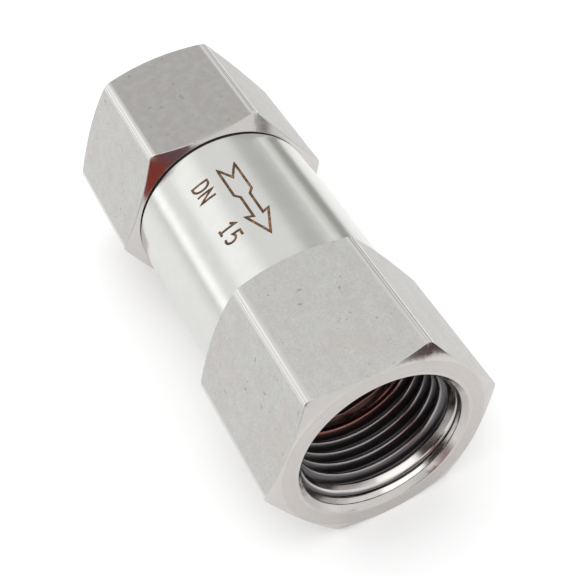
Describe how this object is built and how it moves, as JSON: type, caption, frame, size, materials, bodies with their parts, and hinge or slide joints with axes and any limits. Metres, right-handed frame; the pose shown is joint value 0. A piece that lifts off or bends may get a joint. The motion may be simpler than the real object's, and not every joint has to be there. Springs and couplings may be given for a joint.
{
  "type": "check valve",
  "caption": "In-line spring check valve: stainless hexagon body and inlet cap with female pipe threads, and a sprung poppet that lets flow pass one way only.",
  "frame": {"origin": "middle of the valve on the flow axis, halfway between the inlet face and the outlet face", "axes": "+X along the flow, out of the outlet; +Z out of the hexagon flat opposite the one that it lies on; +Y across two hexagon corners"},
  "size_m": [0.0684, 0.0308, 0.027],
  "materials": {
    "body_steel": "satin bead-blasted hexagon flats, turned barrel, polished threads",
    "turned_steel": "fine turned",
    "spring_steel": "drawn wire and pressed strip, semi-bright",
    "bush_ptfe": "smooth matt",
    "seal_rubber": "matt moulded rubber"
  },
  "bodies": {
    "housing": {"valve_body": "body_steel", "inlet_cap": "body_steel", "body_gasket": "seal_rubber", "stem_guide": "turned_steel", "guide_bush": "bush_ptfe", "guide_ring": "spring_steel", "return_spring": "spring_steel"},
    "poppet": {"poppet_disc": "turned_steel", "poppet_stem": "turned_steel", "seat_seal": "seal_rubber", "seal_washer": "turned_steel", "lock_washer": "spring_steel", "stem_nut": "turned_steel"}
  },
  "joints": [
    {"name": "poppet_lift", "type": "slide", "parent": "housing", "child": "poppet", "axis": [1, 0, 0], "range_m": [0, 0.005], "stiffness_N_per_m": 100, "springref_m": -0.005, "deforming": ["return_spring"]}
  ]
}
